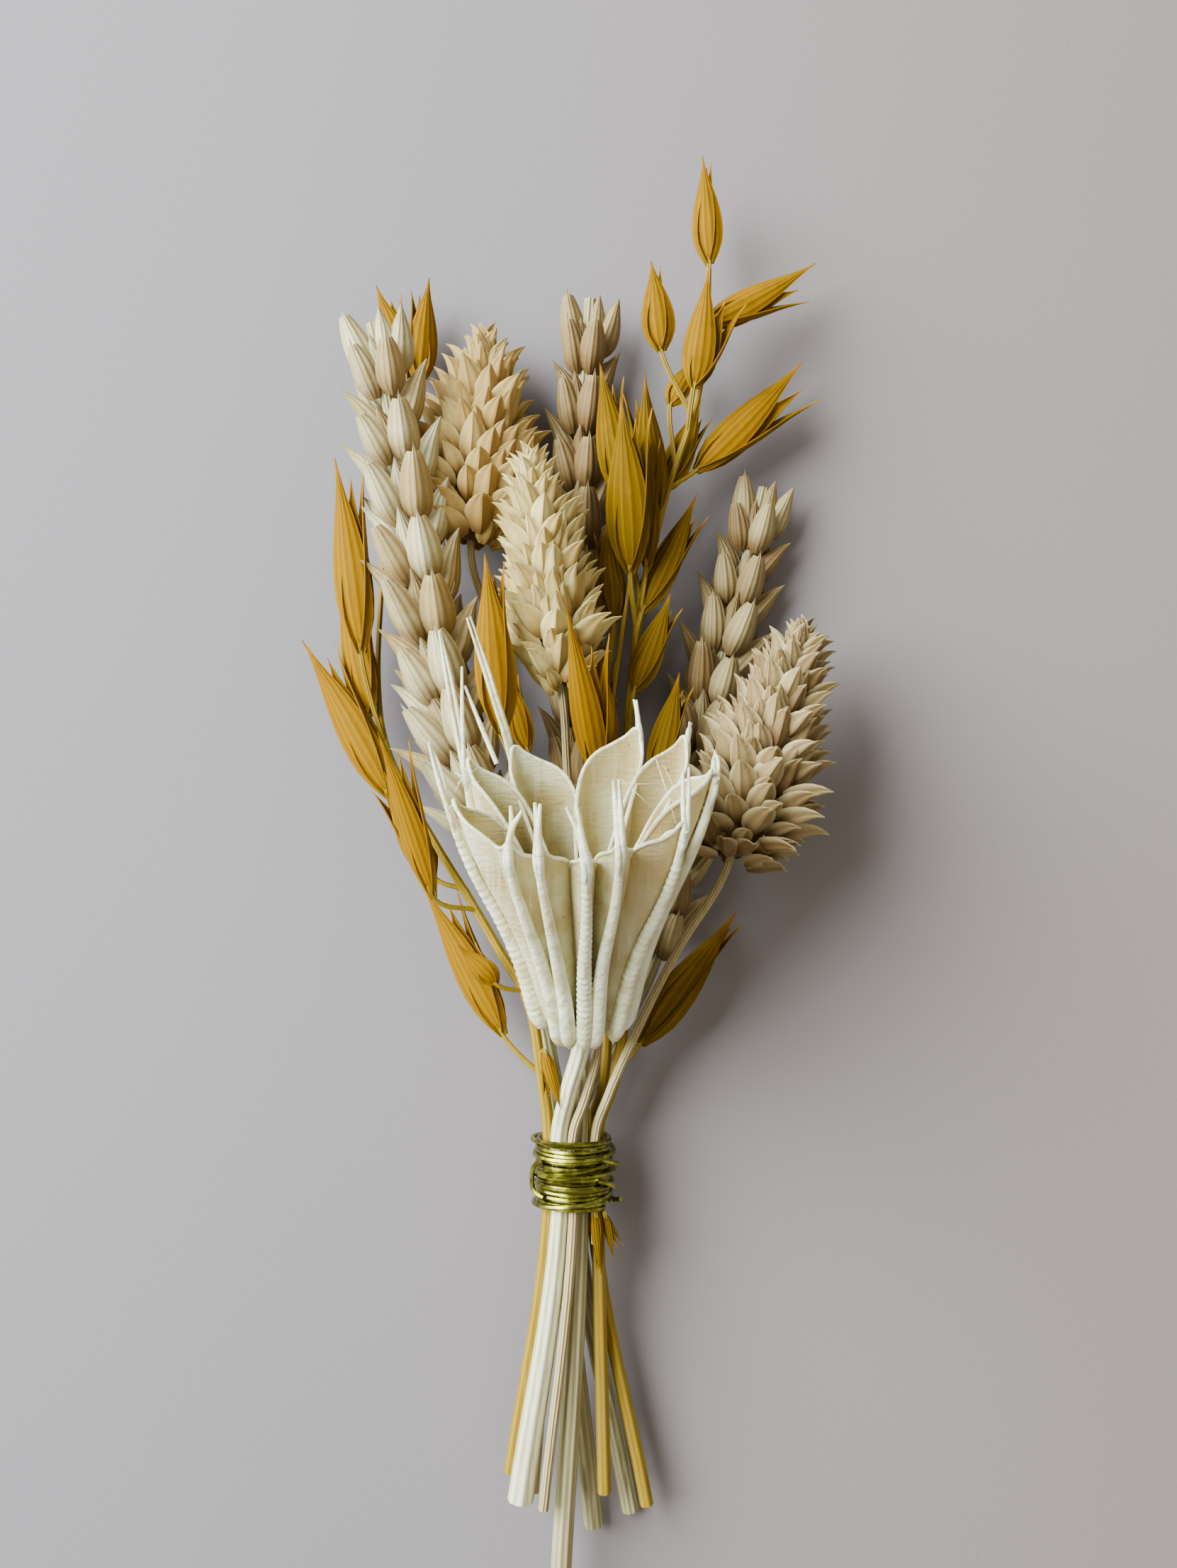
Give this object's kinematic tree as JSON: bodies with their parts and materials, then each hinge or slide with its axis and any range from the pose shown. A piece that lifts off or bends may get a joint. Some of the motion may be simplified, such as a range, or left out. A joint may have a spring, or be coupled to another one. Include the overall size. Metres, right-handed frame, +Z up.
{
  "type": "bundle of dried wheat",
  "caption": "Small dried bouquet lying flat: wheat ears, canary grass heads, golden oats and an open ivory seed pod on cut stems, bound with turns of thin wire.",
  "frame": {"origin": "centre of the bouquet's outline on the table it lies on", "axes": "+Y along the bouquet from the cut stem ends to the heads, +Z up from the table"},
  "size_m": [0.0766, 0.2076, 0.0464],
  "materials": {
    "wheat": "dry straw, matt with a faint sheen",
    "canary_pale": "dry chaff, matt",
    "canary_tan": "dry tan chaff, matt",
    "oats": "dyed golden yellow husk, satin",
    "pod": "ivory papery husk, satin",
    "wire": "olive gold wire, bright highlights"
  },
  "bodies": {
    "root": {"wheat_left": "wheat", "wheat_back": "wheat", "wheat_right": "wheat", "canary_back": "canary_tan", "canary_centre": "canary_pale", "canary_right": "canary_pale", "oats_left": "oats", "oats_right": "oats", "oats_middle": "oats", "seed_pod": "pod", "wire_tie": "wire"}
  },
  "joints": []
}
